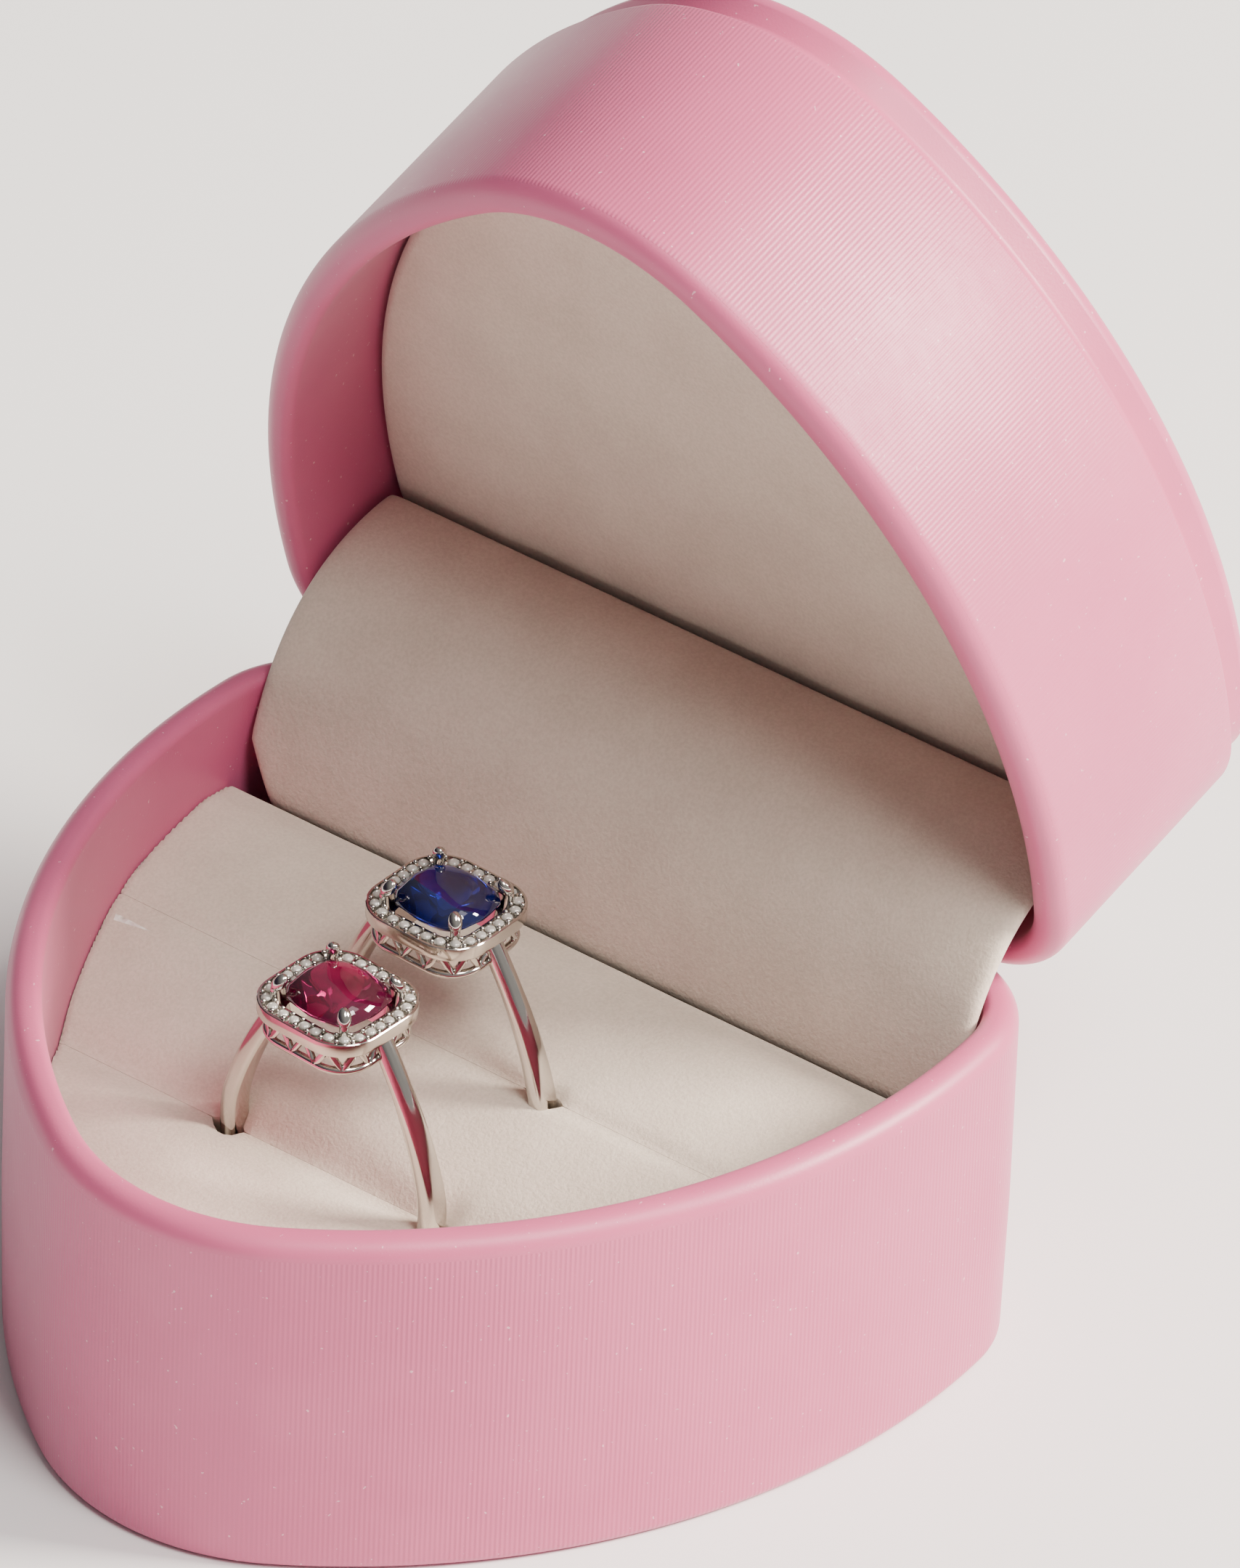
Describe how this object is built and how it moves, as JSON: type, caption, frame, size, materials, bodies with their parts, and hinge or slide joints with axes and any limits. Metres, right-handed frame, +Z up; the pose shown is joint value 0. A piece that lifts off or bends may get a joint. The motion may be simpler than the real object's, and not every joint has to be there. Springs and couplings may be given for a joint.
{
  "type": "jewelry box",
  "caption": "Hinged clamshell ring box with a round-tipped plan, padded velvet insert and lid, hidden leaf hinge, and two gem rings standing in its slots",
  "frame": {"origin": "middle of the base's footprint, on the surface that the box stands on", "axes": "+X along the hinge, -Y towards the round tip at the front, +Z up"},
  "size_m": [0.0704, 0.0866, 0.0926],
  "materials": {
    "shell": "satin soft-touch pink with fine ribs",
    "velvet": "short-pile cream velvet",
    "foam": "soft polyurethane foam",
    "board": "grey pasteboard",
    "leaf_steel": "zinc-plated stamped steel",
    "rivet_steel": "plain steel",
    "spring_steel": "blued spring steel",
    "white_metal": "polished white metal",
    "red_stone": "faceted magenta-red stone",
    "blue_stone": "faceted deep blue stone",
    "clear_stone": "small clear brilliants"
  },
  "bodies": {
    "base": {"base_shell": "shell", "insert_board": "board", "foam_front": "foam", "foam_middle": "foam", "foam_rear": "foam", "velvet_front": "velvet", "velvet_middle": "velvet", "velvet_rear": "velvet", "hinge_leaf_base": "leaf_steel", "hinge_rivets_base": "rivet_steel", "hinge_pin": "rivet_steel", "snap_spring": "spring_steel", "ring_band_front": "white_metal", "ring_head_front": "white_metal", "ring_stone_front": "red_stone", "halo_stones_front": "clear_stone", "ring_band_rear": "white_metal", "ring_head_rear": "white_metal", "ring_stone_rear": "blue_stone", "halo_stones_rear": "clear_stone"},
    "lid": {"lid_shell": "shell", "lid_crown": "shell", "lid_board": "board", "lid_foam": "foam", "lid_velvet": "velvet", "hinge_leaf_lid": "leaf_steel", "hinge_rivets_lid": "rivet_steel"},
    "gusset": {"gusset_card": "board", "gusset_velvet": "velvet"}
  },
  "joints": [
    {"name": "lid_hinge", "type": "hinge", "parent": "base", "child": "lid", "pos_m": [0, 0.0301, 0.0277], "axis": [1, 0, 0], "range_deg": [0, 76]},
    {"name": "gusset_fold", "type": "hinge", "parent": "lid", "child": "gusset", "pos_m": [0, 0.03921, 0.03786], "axis": [1, 0, 0], "range_deg": [-22, 0]}
  ],
  "couplings": [
    {"joint": "gusset_fold", "follows": "lid_hinge", "ratio": -0.28}
  ]
}
